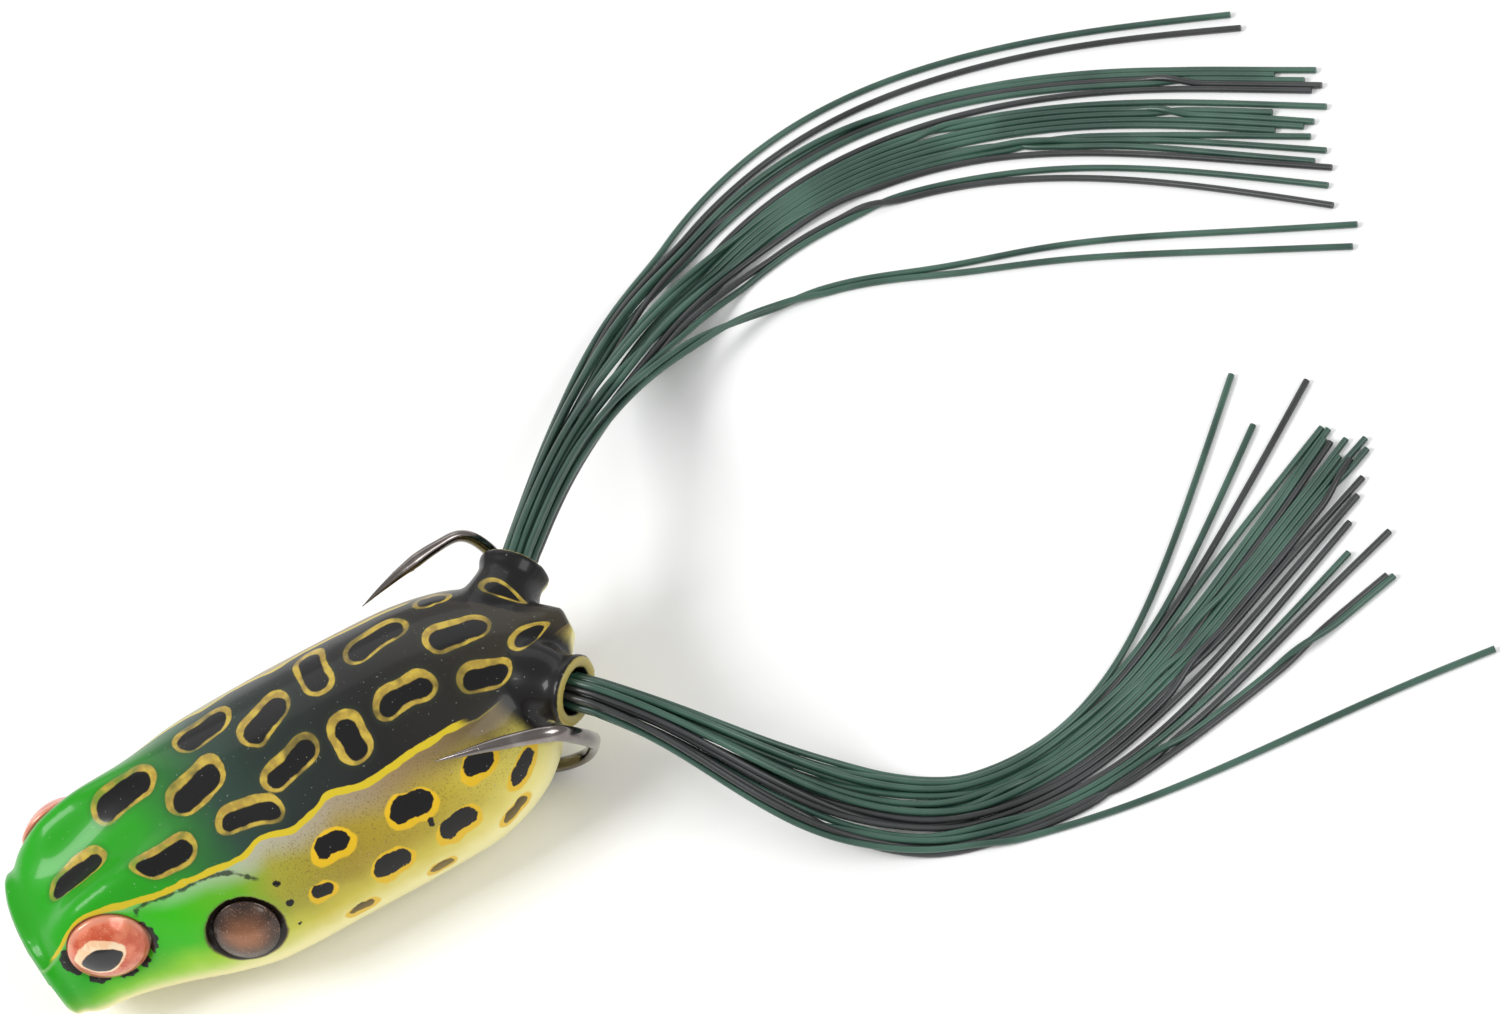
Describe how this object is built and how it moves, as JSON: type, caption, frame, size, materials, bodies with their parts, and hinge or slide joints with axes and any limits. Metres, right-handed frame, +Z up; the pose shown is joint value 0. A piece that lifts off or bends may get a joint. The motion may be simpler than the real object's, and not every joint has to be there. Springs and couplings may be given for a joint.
{
  "type": "topwater popper frog lure",
  "caption": "Hollow soft-bodied frog popper with a cupped mouth, domed eyes, a weighted double hook along its belly and trailing legs of round rubber strands.",
  "frame": {"origin": "under the middle of the body, on the surface the belly lies on", "axes": "-Y towards the nose, +Y towards the legs, +X to the frog's own left, +Z up out of its back"},
  "size_m": [0.0945, 0.1601, 0.0216],
  "materials": {
    "frog_skin": "painted soft PVC, glossy clear coat",
    "copper_eye": "metallic copper print under a clear glossy dome",
    "bronze_ear": "pearl bronze, glossy",
    "black_nickel": "black nickel plate, polished",
    "cast_weight": "bare cast weight, dull",
    "strand_rubber": "matt extruded round rubber, dark green with some black"
  },
  "bodies": {
    "shell": {"hollow_body": "frog_skin", "eye_left": "copper_eye", "eye_right": "copper_eye", "ear_left": "bronze_ear", "ear_right": "bronze_ear", "leg_strands_middle": "strand_rubber"},
    "hook": {"twin_hook": "black_nickel", "keel_weight": "cast_weight"},
    "left_leg": {"leg_left_lock_1": "strand_rubber", "leg_left_lock_2": "strand_rubber", "leg_left_lock_3": "strand_rubber", "leg_left_lock_4": "strand_rubber", "leg_left_lock_5": "strand_rubber"},
    "right_leg": {"leg_right_lock_1": "strand_rubber", "leg_right_lock_2": "strand_rubber", "leg_right_lock_3": "strand_rubber", "leg_right_lock_4": "strand_rubber", "leg_right_lock_5": "strand_rubber"}
  },
  "joints": [
    {"name": "hook_tilt", "type": "hinge", "parent": "shell", "child": "hook", "pos_m": [0, -0.0302, 0.0087], "axis": [1, 0, 0], "range_deg": [0, 2.5], "stiffness_Nm_per_rad": 0.5, "deforming": ["hollow_body"]},
    {"name": "left_leg_swing", "type": "hinge", "parent": "shell", "child": "left_leg", "pos_m": [0.0088, 0.0294, 0.016], "axis": [0, 0, 1], "range_deg": [-12, 10], "stiffness_Nm_per_rad": 0.0004},
    {"name": "right_leg_swing", "type": "hinge", "parent": "shell", "child": "right_leg", "pos_m": [-0.0088, 0.0294, 0.016], "axis": [0, 0, -1], "range_deg": [-12, 10], "stiffness_Nm_per_rad": 0.0004}
  ]
}
